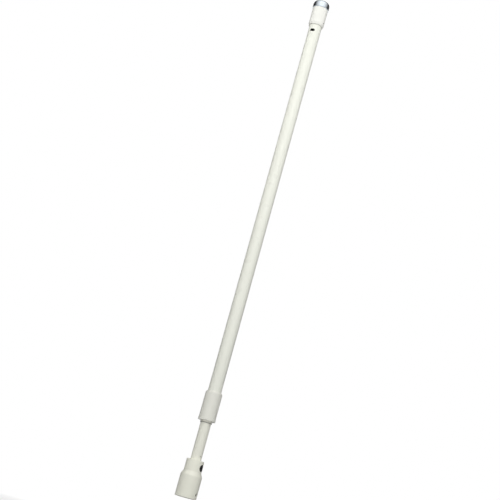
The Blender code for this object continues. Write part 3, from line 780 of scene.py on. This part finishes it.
def add_world():
    """White behind the object, an even surround that lights it, and a softbox that reflections see."""
    world = bpy.data.worlds.new("studio")
    world.use_nodes = True
    tree = world.node_tree
    surround = tree.nodes["Background"]
    surround.inputs["Strength"].default_value = SURROUND_STRENGTH
    backdrop = tree.nodes.new("ShaderNodeBackground")
    softbox = tree.nodes.new("ShaderNodeBackground")
    for background in (surround, backdrop, softbox):
        background.inputs["Color"].default_value = WHITE
    direction = tree.nodes.new("ShaderNodeTexCoord")
    facing = tree.nodes.new("ShaderNodeVectorMath")
    facing.operation = "DOT_PRODUCT"
    towards = outward(VIEW_ANGLE) * math.cos(SOFTBOX_PITCH)
    facing.inputs[1].default_value = towards + Vector((0.0, 0.0, math.sin(SOFTBOX_PITCH)))
    falloff = tree.nodes.new("ShaderNodeMapRange")
    falloff.inputs["From Min"].default_value = SOFTBOX_EDGE
    falloff.inputs["From Max"].default_value = 1.0
    falloff.inputs["To Min"].default_value = SOFTBOX_DARK
    falloff.inputs["To Max"].default_value = SOFTBOX_STRENGTH
    tree.links.new(direction.outputs["Generated"], facing.inputs[0])
    tree.links.new(facing.outputs["Value"], falloff.inputs["Value"])
    tree.links.new(falloff.outputs["Result"], softbox.inputs["Strength"])
    path = tree.nodes.new("ShaderNodeLightPath")
    reflected = tree.nodes.new("ShaderNodeMixShader")
    tree.links.new(path.outputs["Is Glossy Ray"], reflected.inputs["Fac"])
    tree.links.new(surround.outputs["Background"], reflected.inputs[1])
    tree.links.new(softbox.outputs["Background"], reflected.inputs[2])
    seen = tree.nodes.new("ShaderNodeMixShader")
    tree.links.new(path.outputs["Is Camera Ray"], seen.inputs["Fac"])
    tree.links.new(reflected.outputs["Shader"], seen.inputs[1])
    tree.links.new(backdrop.outputs["Background"], seen.inputs[2])
    tree.links.new(seen.outputs["Shader"], tree.nodes["World Output"].inputs["Surface"])
    bpy.context.scene.world = world


def add_stage():
    add_camera()
    add_floor()
    add_world()
    add_light("key", VIEW_ANGLE, 2.6, 2.4, 1.2, 3.0, 1.4, 54.0)
    add_light("low", VIEW_ANGLE, 3.0, 0.35, 0.5, 1.6, 0.8, 32.0)
    add_light("left", VIEW_ANGLE - SIDE_ANGLE, 1.8, 2.2, 1.4, 1.2, 1.2, 17.0)
    add_light("right", VIEW_ANGLE + SIDE_ANGLE, 1.8, 2.2, 1.4, 1.2, 1.2, 15.0)
    add_light("back", VIEW_ANGLE + math.pi, 3.2, 2.2, 0.9, 1.6, 1.6, 80.0)
    bpy.context.scene.view_settings.view_transform = "Standard"


def main():
    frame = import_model()
    add_stage()

    socket_paint = paint("socket_paint", (0.80, 0.80, 0.70))
    tube_paint = paint("lower_tube_paint", (0.80, 0.80, 0.71))
    # The sleeve has the same white paint as the socket and tubes; its darker colour is painted shade.
    sleeve_paint_shaded = paint("sleeve_paint_shaded", (0.73, 0.73, 0.666))
    collar_paint = paint("collar_paint", (0.81, 0.81, 0.76))
    coat_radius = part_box("outer_tube")[1].x - COAT_DEPTH
    # The near-black inside colour is painted shade that keeps the slot dark; the bare laminate itself is
    # real.
    radome_coat = gel_coat("radome_coat", (0.81, 0.82, 0.74), (0.05, 0.05, 0.04), coat_radius)
    plate = machined("nickel_plate", (0.72, 0.77, 0.82), 0.20)
    chrome = machined("polished_cap", (0.69, 0.745, 0.80), 0.16)
    steel = matt("black_oxide", (0.03, 0.03, 0.03), 0.45, 900.0, 0.00003, 0.2, 0.8)
    rubber = matt("black_rubber", (0.015, 0.015, 0.015), 0.75, 1200.0, 0.00004, 0.2)
    # Mid-grey rubber for the wiper ring: its grey stands in for the shadow line under the sleeve, painted
    # shade.
    grey_rubber = matt("grey_rubber", (0.42, 0.42, 0.385), 0.7, 1200.0, 0.00004, 0.1)
    nylon = matt("natural_nylon", (0.84, 0.83, 0.74), 0.42, 600.0, 0.00003, 0.03)
    aluminium = machined("turned_aluminium", (0.75, 0.76, 0.77), 0.32)
    brass = machined("drawn_brass", (0.72, 0.53, 0.24), 0.28)
    copper = machined("enamelled_copper", (0.76, 0.36, 0.18), 0.22)
    insulation = matt("white_insulation", (0.84, 0.84, 0.82), 0.35, 500.0, 0.00002, 0.02)
    foam = matt("grey_foam", (0.42, 0.43, 0.44), 0.9, 1500.0, 0.0003, 0.15)

    add_socket(socket_paint, steel, rubber)
    add_inner_tube(tube_paint, nylon)
    add_outer_tube(radome_coat)
    add_sleeve(sleeve_paint_shaded, nylon, grey_rubber, steel)
    add_top_end(collar_paint, chrome, nylon, steel)
    finishes = [
        (["feed_bulkhead"], aluminium),
        (["jack_body", "jack_washer", "jack_nut"], plate),
        (["jack_insulator", "feed_line_dielectric", "coil_former_1", "coil_former_2"], insulation),
        (["jack_contact", "feed_line_shield", "feed_line_core", "choke_sleeve"], brass),
        (["radiator_1", "radiator_2", "radiator_3"], brass),
        (["phasing_coil_1", "phasing_coil_2"], copper),
        (["spacer_1", "spacer_2", "spacer_3", "spacer_4"], foam),
    ]
    dress_inside(frame["nodes"], finishes)


main()
